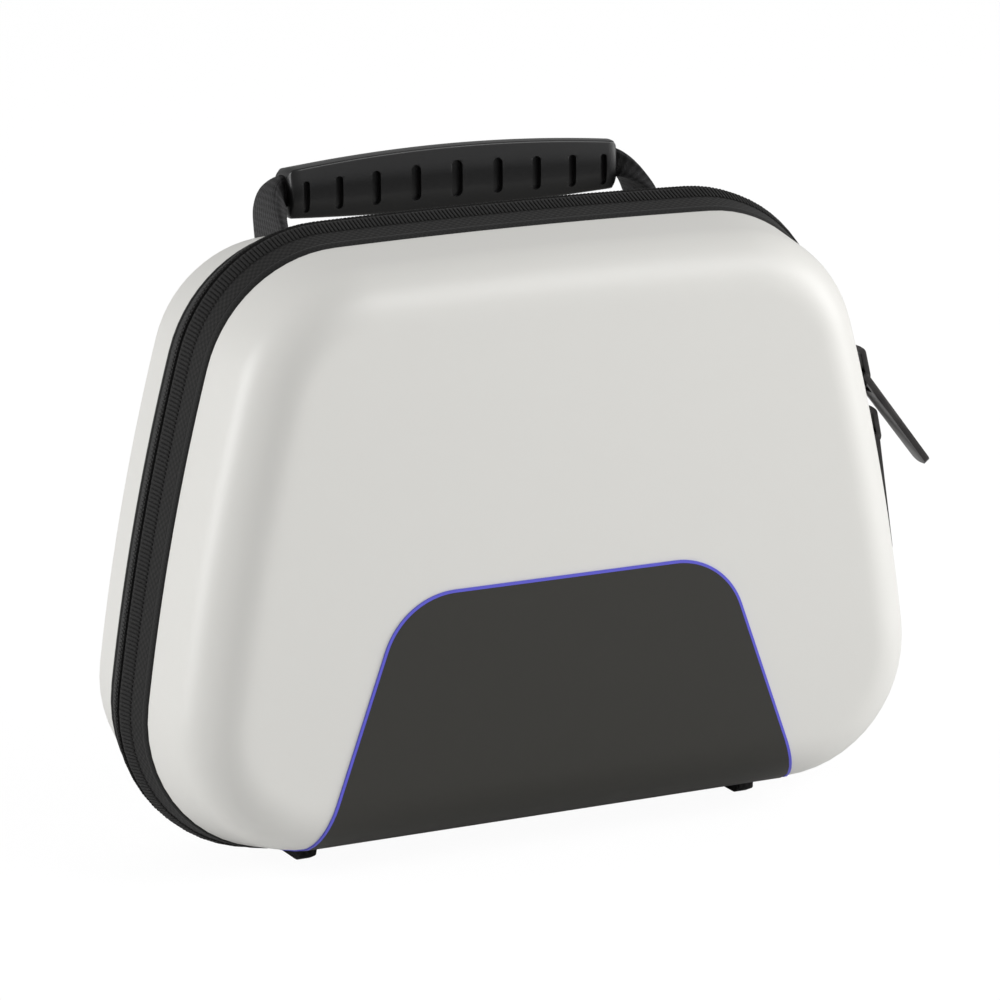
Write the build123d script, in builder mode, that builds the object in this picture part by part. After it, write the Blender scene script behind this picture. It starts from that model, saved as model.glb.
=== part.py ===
# Hard carrying case for a game controller: two moulded shells closed by a zip,
# hinged by a woven strip along the bottom, with a moulded grip on webbing on top.
# Millimetres. X runs across the case, the front faces -Y and Z points up.
# The origin is on the surface the case stands on, under the middle of the zip.
import os
from math import asin, cos, radians, sin, tan

from build123d import *

# Outline of the case on the zip's centre line
foot_gap = 1.2  # height of the zip band above the surface, left by the folded hinge ends
bottom_half_width = 105.0  # to the corner before rounding
top_half_width = 76.3
shoulder_height = 148.6
top_rise = 1.6  # how far the top edge bows up between its corners
side_bow = 5.2  # how far each side bows out
bottom_corner_radius = 37.5
top_corner_radius = 38.0

# Zip band, given for one half from the centre line outwards
band_half_width = 11.0
rim_inset = 3.2  # the band is crowned: its edges lie this far inside its centre line
rim_lift = -0.4  # along the bottom its edges are higher by this much
rim_drop = 1.0  # and along the top lower by this much
tape_split = 0.7  # half the gap between the two tapes
tape_half_width = 8.8
tape_thickness = 0.9
coil_half_width = 2.8
coil_split = 0.1  # half the gap between the two coils where the zip is closed
coil_parted_length = 60.0  # the coils stand apart over the sliders' travel
coil_height = 1.5
coil_gap = 0.02  # between the coil and the tape it is sewn to
binding_proud = 0.4
binding_edge_radius = 0.7
zip_end_half_length = 62.0  # the zip stops here along the bottom

# Shells
shell_wall = 3.0
front_depth = 24.0  # from the band's edge to the front panel
rear_depth = 29.0
front_draft = 8.5
rear_draft = 13.5
bottom_slope = 13.0  # the bottom walls rise away from the band
front_edge_radius = 13.5
rear_edge_radius = 15.0

# Coated patch on the front
patch_thickness = 0.4
patch_bottom_half_width = 66.0  # measured at the surface the case stands on
patch_top_half_width = 42.0
patch_top = 66.5
patch_corner_radius = 18.5
patch_line_width = 0.7
patch_shift = -1.5  # printed a little left of the middle
patch_start = 0.3  # from the hinge strip's edge to the patch

# Woven hinge strip and its folded ends
strip_half_length = 57.0
strip_reach = 14.0
strip_flat = 9.5  # half width of the strip's flat underside
strip_slack = 0.03  # between the strip and what it is sewn to
strip_end_length = 4.5
strip_end_flat = 11.0
strip_end_rise = 1.4
strip_end_radius = 0.7
strip_thickness = 1.0  # at its sewn edges

# Mesh pocket inside the lid
pocket_half_width = 68.0
pocket_top_half_width = 58.0
pocket_bottom = 25.0
pocket_top = 97.0
pocket_depth = 8.0
pocket_draft = 30.0
pocket_corner_radius = 18.0
pocket_sheet = 0.8
pocket_edge_width = 4.0
pocket_front_radius = 3.0
hem_height = 7.0
hem_proud = 0.5
lining_gap = 0.1  # between the lining and what is sewn or glued to it

# Moulded tray in the rear shell
tray_sheet = 2.0
tray_seam = 0.1  # round the pan, inside the flange
tray_fit = 0.15  # between the tray's flange and the shell round it
tray_depth = 22.0
tray_draft = 4.0
tray_corner_radius = 11.0
tray_floor_radius = 6.0

# Handle grip
handle_y = 31.0
grip_half_length = 43.7
grip_top = 160.6
grip_height = 15.8  # in the middle
grip_end_height = 12.1
grip_half_width = 5.6
grip_arch = 2.5  # the top edge falls by this much towards the ends
grip_edge_radius = 1.6
grip_toe = 1.4  # how far its lower edges turn in
grip_end_chamfer = 0.8
passage_width = 5.4
passage_height = 8.2
passage_radius = 2.0
groove_reach = 39.8  # from the middle groove to the last one
groove_turn = 11.0  # degrees between grooves: they close up towards the ends as on a drum
groove_bottom = 4.7  # below the grip's middle
groove_middle_width = 2.9
groove_end_width = 1.7
groove_middle_top = 4.3  # above the grip's middle
groove_end_top = 3.0
groove_depth = 1.6

# Webbing of the handle
strap_thickness = 3.2
strap_height = 7.4
strap_root_x = 50.4
strap_root_y = 20.5
strap_root_width = 18.0
strap_root_thickness = 2.2
strap_roundness = 0.4  # edge radius as a share of the thinner side
strap_gap = 0.05  # where the webbing is sewn down on the shell

# Zip sliders on the right side
slider_height = 92.3  # where the two sliders meet
slider_spacing = 15.4  # between the two sliders' middles
slider_length = 14.2
slider_width = 9.0
slider_nose_width = 6.4
slider_top = 2.0  # outer face, measured from the tape
slider_clearance = 0.5
slider_lip_clearance = 0.1
slider_lip_width = 1.0
slider_inner = 3.75  # inner plate's near face, measured inwards from the tape
slider_inner_plate = 1.2
slider_neck_width = 0.8
slider_neck_length = 3.0
bridge_width = 3.0
bridge_top = 9.3
bridge_half_length = 5.4
bridge_crown = 3.6
bridge_shoulder = 7.6
bridge_thickness = 1.4
bridge_bend_radius = 1.9
slider_corner = 0.5
slider_tail = 1.0  # length of the taper at its wide end
neck_setback = 0.6

# Slider pulls
pull_length = 31.0
pull_width = 7.0
pull_tip_width = 5.4
pull_thickness = 1.6
pull_window_end = 5.5
pull_window_width = 4.0
pull_pin_drop = 2.2  # from the slider's middle down to the pin
pull_pin_height = 6.9
pull_tip_radius = 2.0
upper_pull_lift = 25.0  # degrees out from the band
lower_pull_lift = -2.5


def band_share(reach):
    # How much of the crown is passed at a distance from the zip's centre line
    return reach / band_half_width


def side_circle():
    # Centre and radius of the right side's arc, on the band's crown
    high = foot_gap + shoulder_height
    middle = ((bottom_half_width + top_half_width) / 2 + side_bow, (foot_gap + high) / 2)
    side = ThreePointArc((bottom_half_width, foot_gap), middle, (top_half_width, high))
    return side.arc_center, side.radius


def top_circle():
    high = foot_gap + shoulder_height
    top = ThreePointArc((top_half_width, high), (0, high + top_rise), (-top_half_width, high))
    return top.arc_center, top.radius


def draw_outline(plane, grow, lift=0.0, drop=0.0):
    # Outline of the case on a plane across its depth, grown or shrunk all round,
    # then raised along the bottom and lowered along the top
    side_centre, side_radius = side_circle()
    top_centre, top_radius = top_circle()
    with BuildSketch(plane) as sketch:
        with Locations((side_centre.X, side_centre.Y)):
            Circle(side_radius + grow)
        with Locations((-side_centre.X, side_centre.Y)):
            Circle(side_radius + grow, mode=Mode.INTERSECT)
        with Locations((0, top_centre.Y)):
            Circle(top_radius + grow - drop, mode=Mode.INTERSECT)
        with Locations((0, foot_gap + lift - grow)):
            above = (Align.CENTER, Align.MIN)
            Rectangle(4 * bottom_half_width, 2 * grip_top, align=above, mode=Mode.INTERSECT)
        fillet(sketch.vertices().group_by(Axis.Y)[0], bottom_corner_radius + grow)
        fillet(sketch.vertices().group_by(Axis.Y)[-1], top_corner_radius + grow)
    return sketch.sketch


def side_plane(height):
    # On the band's crown on the right side: x runs up along the band and z outwards
    centre, radius = side_circle()
    lean = asin((height - centre.Y) / radius)
    origin = (centre.X + radius * cos(lean), 0, height)
    return Plane(origin=origin, x_dir=(-sin(lean), 0, cos(lean)), z_dir=(cos(lean), 0, sin(lean)))


def crown_outline(reach, inset):
    # Outline of the front half's band at a distance from the zip, moved in by inset
    share = band_share(reach)
    plane = Plane.front.offset(reach)
    return draw_outline(plane, -share * rim_inset - inset, share * rim_lift, share * rim_drop)


def dome(side, depth, draft, radius, inward):
    # Pillow-shaped solid of one half, from the band's edge; inward moves every face in
    reach = depth - inward
    start_inset = rim_inset + inward
    end_inset = start_inset + reach * tan(radians(draft))
    end_lift = rim_lift + reach * (tan(radians(bottom_slope)) - tan(radians(draft)))
    near = draw_outline(side.offset(band_half_width), -start_inset, rim_lift, rim_drop)
    far = draw_outline(side.offset(band_half_width + reach), -end_inset, end_lift, rim_drop)
    with BuildPart() as body:
        loft([near, far], ruled=True)
        crown = body.faces().sort_by(Axis((0, 0, 0), side.z_dir))[-1]
        fillet(crown.edges(), radius - inward)
    return body.part


def band_slab(start, end, inset):
    with BuildPart() as body:
        loft([crown_outline(start, inset), crown_outline(end, inset)], ruled=True)
    return body.part


def band_ring(start, end, proud, thickness):
    # Outer and inner solids of a ring of the front half's band, following its crown
    return band_slab(start, end, -proud), band_slab(start, end, thickness - proud)


def cut_zip_end():
    # Opens a ring of the zip along the bottom, where the hinge strip takes over
    Box(2 * zip_end_half_length, 4 * band_half_width, shoulder_height / 2, mode=Mode.SUBTRACT)


def write(piece, name):
    piece.part.label = name
    export_step(piece.part, f"parts/{name}.step")


os.makedirs("parts", exist_ok=True)

# Shells: moulded foam board, one piece each
front_outer = dome(Plane.front, front_depth, front_draft, front_edge_radius, 0)
front_inner = dome(Plane.front, front_depth, front_draft, front_edge_radius, shell_wall)
with BuildPart() as front_shell:
    add(front_outer)
    add(front_inner, mode=Mode.SUBTRACT)
write(front_shell, "front_shell")

rear_outer = dome(Plane.back, rear_depth, rear_draft, rear_edge_radius, 0)
rear_inner = dome(Plane.back, rear_depth, rear_draft, rear_edge_radius, shell_wall)
with BuildPart() as rear_shell:
    add(rear_outer)
    add(rear_inner, mode=Mode.SUBTRACT)
write(rear_shell, "rear_shell")

# Zip band: woven tape, the coil sewn under its inner edge, and the bound edge at the shell
tape_outer, tape_inner = band_ring(tape_split, tape_half_width, 0, tape_thickness)
with BuildPart() as front_zip_tape:
    add(tape_outer)
    add(tape_inner, mode=Mode.SUBTRACT)
    cut_zip_end()
write(front_zip_tape, "front_zip_tape")

coil_drop = -tape_thickness - coil_gap
coil_outer, coil_inner = band_ring(coil_split, coil_half_width, coil_drop, coil_height)
with BuildPart() as front_zip_coil:
    add(coil_outer)
    add(coil_inner, mode=Mode.SUBTRACT)
    cut_zip_end()
    with Locations((bottom_half_width, 0, slider_height)):
        Box(bottom_half_width, 2 * tape_split, coil_parted_length, mode=Mode.SUBTRACT)
write(front_zip_coil, "front_zip_coil")

binding_depth = shell_wall + binding_proud
binding_outer, binding_inner = band_ring(
    tape_half_width, band_half_width, binding_proud, binding_depth
)
with BuildPart() as front_binding:
    add(binding_outer)
    for face in front_binding.faces().filter_by(Axis.Y):
        fillet(face.edges(), binding_edge_radius)
    add(binding_inner, mode=Mode.SUBTRACT)
write(front_binding, "front_binding")

with BuildPart() as rear_zip_tape:
    mirror(front_zip_tape.part, about=Plane.XZ)
write(rear_zip_tape, "rear_zip_tape")

with BuildPart() as rear_zip_coil:
    mirror(front_zip_coil.part, about=Plane.XZ)
write(rear_zip_coil, "rear_zip_coil")

with BuildPart() as rear_binding:
    mirror(front_binding.part, about=Plane.XZ)
write(rear_binding, "rear_binding")

# Hinge strip: woven, sewn across the bottom, with a thick folded end at each side
rim_height = foot_gap + rim_inset + rim_lift
tape_share = band_share(tape_half_width)
binding_height = foot_gap + tape_share * (rim_inset + rim_lift) - binding_proud
edge_height = rim_height + (strip_reach - band_half_width) * tan(radians(bottom_slope))
strip_upper = [
    (strip_reach, edge_height - strip_slack),
    (band_half_width, rim_height - binding_proud - strip_slack),
    (tape_half_width, binding_height - strip_slack),
]
strip_profile = strip_upper + [(-y, z) for y, z in reversed(strip_upper)]


def draw_strip(plane, foot, corner):
    # Section of the strip, flat between its feet and closed by the band's own profile
    left = [(-corner[0], corner[1]), (-foot[0], foot[1])]
    with BuildSketch(plane) as sketch:
        Polygon(*strip_profile, *left, foot, corner, align=None)
    return sketch.sketch


def folded_end(side):
    # Thick folded end, on the right with side 1 and on the left with side -1
    plane = Plane.YZ.offset(side * strip_half_length)
    foot = (strip_end_flat, 0)
    with BuildPart() as body:
        extrude(draw_strip(plane, foot, (strip_reach, strip_end_rise)), amount=side * strip_end_length)
        outer_face = body.faces().sort_by(Axis.X)[-1 if side > 0 else 0]
        fillet(outer_face.edges().group_by(Axis.Z)[0], strip_end_radius)
    return body.part


with BuildPart() as hinge_strip:
    foot = (strip_flat, foot_gap)
    corner = (strip_reach, edge_height - strip_thickness)
    extrude(draw_strip(Plane.YZ, foot, corner), amount=strip_half_length, both=True)
    add(folded_end(1))
    add(folded_end(-1))
write(hinge_strip, "hinge_strip")

# Coated patch on the front, wrapping under the lower edge, and the line printed round it
patch_lean = (patch_bottom_half_width - patch_top_half_width) / patch_top


def draw_patch(plane, grow):
    low = -2 * foot_gap
    low_half = patch_bottom_half_width + patch_lean * (foot_gap - low)
    high = foot_gap + patch_top
    right = [(patch_shift + low_half, low), (patch_shift + patch_top_half_width, high)]
    left = [(patch_shift - patch_top_half_width, high), (patch_shift - low_half, low)]
    with BuildSketch(plane) as sketch:
        Polygon(*right, *left, align=None)
        offset(amount=grow, kind=Kind.INTERSECTION)
        fillet(sketch.vertices().group_by(Axis.Y)[-1], patch_corner_radius + grow)
    return sketch.sketch


skin = dome(Plane.front, front_depth, front_draft, front_edge_radius, -patch_thickness)
patch_back = Plane.front.offset(strip_reach + patch_start)
with BuildPart() as front_patch:
    extrude(draw_patch(patch_back, 0), amount=2 * front_depth)
    add(skin, mode=Mode.INTERSECT)
    add(front_outer, mode=Mode.SUBTRACT)
write(front_patch, "front_patch")

with BuildPart() as patch_outline:
    extrude(draw_patch(patch_back, patch_line_width), amount=2 * front_depth)
    extrude(draw_patch(patch_back, 0), amount=2 * front_depth, mode=Mode.SUBTRACT)
    add(skin, mode=Mode.INTERSECT)
    add(front_outer, mode=Mode.SUBTRACT)
write(patch_outline, "patch_outline")


# Mesh pocket: a shallow bag sewn to the lid's lining along its sides and bottom
def draw_pocket(reach, inset):
    lean = (pocket_half_width - pocket_top_half_width) / (pocket_top - pocket_bottom)
    high = pocket_top + 2 * pocket_corner_radius
    high_half = pocket_half_width - lean * (high - pocket_bottom)
    corners = [(-pocket_half_width, pocket_bottom), (pocket_half_width, pocket_bottom)]
    corners += [(high_half, high), (-high_half, high)]
    with BuildSketch(Plane.front.offset(reach)) as sketch:
        Polygon(*corners, align=None)
        offset(amount=-inset, kind=Kind.INTERSECTION)
        fillet(sketch.vertices().group_by(Axis.Y)[0], pocket_corner_radius - inset)
    return sketch.sketch


def pocket_body(shrink):
    # Solid inside of the bag, made smaller by shrink on every side but the lining's
    near = draw_pocket(lining, shrink)
    rise = pocket_depth - shrink
    far = draw_pocket(lining - rise, shrink + rise * tan(radians(pocket_draft)))
    with BuildPart() as body:
        loft([near, far], ruled=True)
        front = body.faces().sort_by(Axis.Y)[-1]
        fillet(front.edges().group_by(Axis.Z)[0], pocket_front_radius)
    return body.part


def keep_heights(low, high):
    # Keeps what lies between two heights
    with Locations((0, 0, (low + high) / 2)):
        Box(2 * bottom_half_width, 2 * lining, high - low, mode=Mode.INTERSECT)


lining = band_half_width + front_depth - shell_wall - lining_gap
bag = pocket_body(0)
bag_inside = pocket_body(pocket_sheet)
hem_top = pocket_top + hem_height
with BuildPart() as mesh_pocket:
    add(bag)
    extrude(draw_pocket(lining, -pocket_edge_width), amount=-pocket_sheet)
    add(bag_inside, mode=Mode.SUBTRACT)
    keep_heights(0, pocket_top)
write(mesh_pocket, "mesh_pocket")

with BuildPart() as pocket_hem:
    add(pocket_body(-hem_proud))
    add(pocket_body(pocket_sheet + hem_proud), mode=Mode.SUBTRACT)
    keep_heights(pocket_top, hem_top)
write(pocket_hem, "pocket_hem")


# Controller tray: a formed pan set in a flat flange that fills the rear shell's mouth
def rear_inside(reach):
    # Outline of the rear shell's inner wall at a distance from the zip, less the tray's fit
    beyond = reach - band_half_width
    inset = rim_inset + shell_wall + tray_fit + beyond * tan(radians(rear_draft))
    lift = rim_lift + beyond * (tan(radians(bottom_slope)) - tan(radians(rear_draft)))
    return draw_outline(Plane.back.offset(reach), -inset, lift, rim_drop)


tray_half_profile = [(81.5, 72.0), (55.0, 130.0), (36.0, 56.0), (48.0, 25.0), (77.0, 25.0)]


def draw_tray(reach, grow):
    # The recess follows a controller: wide shoulders and two grips
    shoulder, top, notch, grip_inner, grip_outer = tray_half_profile
    right = [shoulder, top]
    left = [(-top[0], top[1]), (-shoulder[0], shoulder[1]), (-grip_outer[0], grip_outer[1])]
    left += [(-grip_inner[0], grip_inner[1]), (-notch[0], notch[1])]
    with BuildSketch(Plane.back.offset(reach)) as sketch:
        Polygon(*right, *left, notch, grip_inner, grip_outer, align=None)
        offset(amount=grow, kind=Kind.INTERSECTION)
        fillet(sketch.vertices(), tray_corner_radius)
    return sketch.sketch


def tray_body(mouth, depth, grow):
    near = draw_tray(mouth, grow)
    far = draw_tray(mouth + depth, grow - depth * tan(radians(tray_draft)))
    with BuildPart() as body:
        loft([near, far], ruled=True)
        fillet(body.faces().sort_by(Axis.Y)[-1].edges(), tray_floor_radius + grow)
    return body.part


tray_mouth = band_half_width + lining_gap
flange_back = tray_mouth + tray_sheet
with BuildPart() as tray_flange:
    loft([rear_inside(tray_mouth), rear_inside(flange_back)], ruled=True)
    seat_grow = tray_sheet + tray_seam
    add(tray_body(tray_mouth, tray_depth + tray_sheet, seat_grow), mode=Mode.SUBTRACT)
write(tray_flange, "tray_flange")

with BuildPart() as controller_tray:
    add(tray_body(tray_mouth, tray_depth + tray_sheet, tray_sheet))
    add(tray_body(tray_mouth, tray_depth, 0), mode=Mode.SUBTRACT)
write(controller_tray, "controller_tray")


# Handle grip: a slotted barrel-shaped moulding, open at both ends
grip_middle = grip_top - grip_height / 2
grip_end_middle = grip_top - grip_arch - grip_end_height / 2
grip_sag = (grip_middle - grip_end_middle) / grip_half_length**2


def grip_path(half_length):
    end = grip_middle - grip_sag * half_length**2
    middle = (0, handle_y, grip_middle)
    return ThreePointArc((-half_length, handle_y, end), middle, (half_length, handle_y, end))


def grip_start(path):
    return Plane(origin=path @ 0, x_dir=(0, 1, 0), z_dir=path % 0)


def grip_section(x, inset):
    # Steep front with a sharp top edge, round back
    swell = 1 - (x / grip_half_length) ** 2
    top = (grip_end_height + swell * (grip_height - grip_end_height)) / 2
    wide = grip_half_width
    front = [(-wide + grip_toe, -top), (-wide, -0.45 * top), (-wide, 0.35 * top)]
    front += [(-wide + grip_toe / 2, top - grip_toe / 8)]
    back = [(-grip_toe, top), (0.7 * wide, 0.8 * top), (wide, 0.2 * top), (wide, -0.45 * top)]
    plane = Plane(origin=(x, handle_y, grip_middle - grip_sag * x**2), x_dir=(0, 1, 0), z_dir=(1, 0, 0))
    with BuildSketch(plane) as section:
        Polygon(*front, *back, (wide - grip_toe, -top), align=None)
        offset(amount=-inset, kind=Kind.INTERSECTION)
        corners = section.vertices()
        sharp = corners.filter_by(lambda v: v.X < -wide / 3 and v.Y > 0).group_by(Axis.Y)[-1]
        fillet([v for v in corners if v not in sharp], grip_edge_radius - inset / 2)
    return section.sketch


def grip_bar(half_length, inset):
    with BuildPart() as body:
        loft([grip_section(x, inset) for x in (-half_length, 0, half_length)])
    return body.part


with BuildPart() as grooves:
    with BuildSketch(Plane.XZ):
        for number in range(-4, 5):
            near_end = abs(number) / 4
            width = groove_middle_width + (groove_end_width - groove_middle_width) * near_end
            high = groove_middle_top + (groove_end_top - groove_middle_top) * near_end
            x = groove_reach * sin(radians(number * groove_turn)) / sin(radians(4 * groove_turn))
            straight = high + groove_bottom - width
            middle = grip_middle - grip_sag * x**2 + (high - groove_bottom) / 2
            with Locations((x, middle)):
                SlotCenterToCenter(straight, width, rotation=90)
    extrude(amount=2 * handle_y, both=True)
    add(grip_bar(grip_half_length + 1, groove_depth), mode=Mode.SUBTRACT)

with BuildPart() as handle_grip:
    add(grip_bar(grip_half_length, 0))
    for end in (Axis.X, -Axis.X):
        chamfer(handle_grip.faces().sort_by(end)[-1].edges(), grip_end_chamfer)
    add(grooves.part, mode=Mode.SUBTRACT)
    passage = grip_path(grip_half_length + 1)
    with BuildSketch(grip_start(passage)):
        RectangleRounded(passage_width, passage_height, passage_radius)
    sweep(path=passage, mode=Mode.SUBTRACT)
write(handle_grip, "handle_grip")

# Webbing: folded narrow inside the grip, opening out flat where it is sewn to the shell
strap_path = grip_path(grip_half_length - 2)


def draw_strap(plane, width, height):
    with BuildSketch(plane) as sketch:
        RectangleRounded(width, height, strap_roundness * min(width, height))
    return sketch.sketch


strap_end_plane = Plane(origin=strap_path @ 1, x_dir=(0, 1, 0), z_dir=strap_path % 1)
strap_sections = [draw_strap(strap_end_plane, strap_thickness, strap_height)]
for x, share, drop, turn, width, height in (
    (grip_half_length + 1, 0.0, 0.1, 4, strap_thickness, strap_height),
    (strap_root_x - 2.2, 0.1, 1.8, 36, 5.6, 5.6),
    (strap_root_x + 0.4, 0.35, 5.0, 70, 11.5, 3.2),
    (strap_root_x + 0.4, 0.65, 9.0, 87, 16.0, 2.4),
    (strap_root_x - 0.8, 1.0, 15.0, 96, strap_root_width, strap_root_thickness),
):
    forward = share * (handle_y - strap_root_y)
    place = (x, handle_y - forward, (strap_path @ 1).Z - drop)
    ahead = (cos(radians(turn)), 0, -sin(radians(turn)))
    section_plane = Plane(origin=place, x_dir=(0, 1, 0), z_dir=ahead)
    strap_sections.append(draw_strap(section_plane, width, height))
rear_seat = dome(Plane.back, rear_depth, rear_draft, rear_edge_radius, -strap_gap)
with BuildPart() as strap_end:
    loft(strap_sections)
    add(rear_seat, mode=Mode.SUBTRACT)

with BuildPart() as handle_strap:
    with BuildSketch(grip_start(strap_path)):
        RectangleRounded(strap_thickness, strap_height, strap_roundness * strap_thickness)
    sweep(path=strap_path)
    add(strap_end.part)
    add(mirror(strap_end.part, about=Plane.YZ, mode=Mode.PRIVATE))
write(handle_strap, "handle_strap")


# Zip sliders: two plates joined by a neck that runs in the split between the tapes
def build_slider(plane, nose):
    # nose is 1 when the narrow end points up and -1 when it points down
    half = slider_length / 2
    wide = slider_width / 2
    narrow = slider_nose_width / 2
    end = [(-half, narrow), (-half + slider_tail, wide), (0, wide), (half, narrow)]
    outline = [(nose * u, v) for u, v in end] + [(nose * u, -v) for u, v in reversed(end)]
    lip_height = slider_top - slider_lip_clearance
    with BuildPart() as body:
        with BuildSketch(plane.offset(slider_lip_clearance)) as top_plate:
            Polygon(*outline, align=None)
            fillet(top_plate.vertices(), slider_corner)
        extrude(amount=lip_height)
        fillet(body.faces().sort_by(Axis(plane.origin, plane.z_dir))[-1].edges(), slider_corner)
        with BuildSketch(plane.offset(slider_clearance)):
            Rectangle(2 * slider_length, slider_width - 2 * slider_lip_width)
        extrude(amount=-slider_clearance, mode=Mode.SUBTRACT)
        with BuildSketch(plane.offset(-slider_inner)) as inner_plate:
            Polygon(*outline, align=None)
            fillet(inner_plate.vertices(), slider_corner)
        extrude(amount=-slider_inner_plate)
        with BuildSketch(plane.offset(slider_clearance)):
            with Locations((-nose * (half - neck_setback - slider_neck_length / 2), 0)):
                Rectangle(slider_neck_length, slider_neck_width)
        extrude(amount=-slider_clearance - slider_inner)
        with BuildSketch(Plane(plane.origin, x_dir=plane.x_dir, z_dir=-plane.y_dir)) as bridge:
            shoulder = (bridge_half_length, bridge_shoulder)
            crown = (bridge_crown, bridge_top)
            foot = (bridge_half_length, slider_top - slider_corner)
            right = [foot, shoulder, crown]
            Polygon(*right, *[(-u, w) for u, w in reversed(right)], align=None)
            fillet(bridge.vertices().filter_by(lambda v: v.Y > slider_top), bridge_bend_radius)
            offset(amount=-bridge_thickness, mode=Mode.SUBTRACT)
        extrude(amount=bridge_width / 2, both=True)
    return body.part


def build_pull(plane, lift):
    # Flat pull with a window at its head; the pin across the head runs under the bridge
    pin = plane.from_local_coords(Vector(-pull_pin_drop, 0, pull_pin_height))
    turn = radians(lift)
    along = plane.z_dir * sin(turn) - plane.x_dir * cos(turn)
    outward = plane.z_dir * cos(turn) + plane.x_dir * sin(turn)
    flat = Plane(origin=pin, x_dir=along, z_dir=outward)
    head = pull_width / 2
    tip = pull_tip_width / 2
    with BuildPart() as body:
        with BuildSketch(flat.offset(-pull_thickness / 2)) as blade:
            Polygon((0, head), (0, -head), (pull_length, -tip), (pull_length, tip), align=None)
            fillet(blade.vertices().group_by(Axis.X)[-1], pull_tip_radius)
            with Locations((0, 0)):
                beyond = (Align.MIN, Align.CENTER)
                Rectangle(pull_window_end, pull_window_width, align=beyond, mode=Mode.SUBTRACT)
        extrude(amount=pull_thickness)
        with BuildSketch(Plane(origin=pin, x_dir=along, z_dir=flat.y_dir)):
            Circle(pull_thickness / 2)
        extrude(amount=head, both=True)
    return body.part


upper_plane = side_plane(slider_height + slider_spacing / 2)
lower_plane = side_plane(slider_height - slider_spacing / 2)
with BuildPart() as upper_slider:
    add(build_slider(upper_plane, 1))
write(upper_slider, "upper_slider")

with BuildPart() as lower_slider:
    add(build_slider(lower_plane, -1))
write(lower_slider, "lower_slider")

with BuildPart() as upper_pull:
    add(build_pull(upper_plane, upper_pull_lift))
write(upper_pull, "upper_pull")

with BuildPart() as lower_pull:
    add(build_pull(lower_plane, lower_pull_lift))
write(lower_pull, "lower_pull")
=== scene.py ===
# Game controller carrying case: white moulded shells, black zip band, handle and pulls.
# Sizes are in millimetres and are turned to metres where a vertex is placed.
from math import atan2, cos, hypot, pi, radians, sin, sqrt, tan

import bmesh
import bpy
from mathutils import Matrix, Vector


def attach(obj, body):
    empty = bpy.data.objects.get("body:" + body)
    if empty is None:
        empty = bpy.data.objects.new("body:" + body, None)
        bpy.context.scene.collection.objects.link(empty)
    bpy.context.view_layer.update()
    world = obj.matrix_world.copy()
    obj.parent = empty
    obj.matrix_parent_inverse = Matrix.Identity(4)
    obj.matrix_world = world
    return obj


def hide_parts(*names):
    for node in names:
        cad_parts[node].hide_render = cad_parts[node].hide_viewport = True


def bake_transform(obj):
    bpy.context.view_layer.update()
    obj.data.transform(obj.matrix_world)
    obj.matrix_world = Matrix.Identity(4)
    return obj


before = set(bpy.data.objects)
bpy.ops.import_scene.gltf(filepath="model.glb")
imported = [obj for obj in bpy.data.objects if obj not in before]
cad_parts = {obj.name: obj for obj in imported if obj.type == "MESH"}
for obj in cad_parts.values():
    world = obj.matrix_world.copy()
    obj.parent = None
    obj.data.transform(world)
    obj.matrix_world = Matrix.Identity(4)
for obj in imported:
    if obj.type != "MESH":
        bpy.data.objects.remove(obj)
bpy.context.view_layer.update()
mm = 0.001

# The same outline as the CAD: two side arcs, a top arc and four corner arcs
caseForm = {
    "footGap": 1.2,
    "bottomHalfWidth": 105.0,
    "topHalfWidth": 76.3,
    "shoulderHeight": 148.6,
    "topRise": 1.6,
    "sideBow": 5.2,
    "bottomCorner": 37.5,
    "topCorner": 38.0,
    "bandHalfWidth": 11.0,
    "rimInset": 3.2,
    "rimLift": -0.4,
    "rimDrop": 1.0,
    "zipEnd": 62.0,
    "zipEndHeight": 12.0,
}


def circleThrough(first, middle, last):
    # centre and radius of the circle through three points
    ax, ay = first
    bx, by = middle
    cx, cy = last
    d = 2 * (ax * (by - cy) + bx * (cy - ay) + cx * (ay - by))
    aa, bb, cc = ax * ax + ay * ay, bx * bx + by * by, cx * cx + cy * cy
    x = (aa * (by - cy) + bb * (cy - ay) + cc * (ay - by)) / d
    y = (aa * (cx - bx) + bb * (ax - cx) + cc * (bx - ax)) / d
    return x, y, hypot(ax - x, ay - y)


def outlineArcs():
    form = caseForm
    low, high = form["footGap"], form["footGap"] + form["shoulderHeight"]
    wide, narrow = form["bottomHalfWidth"], form["topHalfWidth"]
    middle = ((wide + narrow) / 2 + form["sideBow"], (low + high) / 2)
    side = circleThrough((wide, low), middle, (narrow, high))
    top = circleThrough((narrow, high), (0, high + form["topRise"]), (-narrow, high))
    return side, top


sideArc, topArc = outlineArcs()


def topCorner(drop):
    # centre of the right top corner's arc, which touches the side arc and the lowered top arc
    reachSide = sideArc[2] - caseForm["topCorner"]
    reachTop = topArc[2] - drop - caseForm["topCorner"]
    gap = hypot(topArc[0] - sideArc[0], topArc[1] - sideArc[1])
    along = (reachSide**2 - reachTop**2 + gap**2) / (2 * gap)
    across = sqrt(reachSide**2 - along**2)
    ux, uz = (topArc[0] - sideArc[0]) / gap, (topArc[1] - sideArc[1]) / gap
    # two circles round those centres meet in two points, and the upper one is the corner's
    corner = (sideArc[0] + along * ux - across * uz, sideArc[1] + along * uz + across * ux)
    other = (sideArc[0] + along * ux + across * uz, sideArc[1] + along * uz - across * ux)
    return corner if corner[1] > other[1] else other


ringSteps = {"flat": 8, "toCorner": 3, "bottomCorner": 14, "side": 22, "topCorner": 14, "top": 16}


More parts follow.
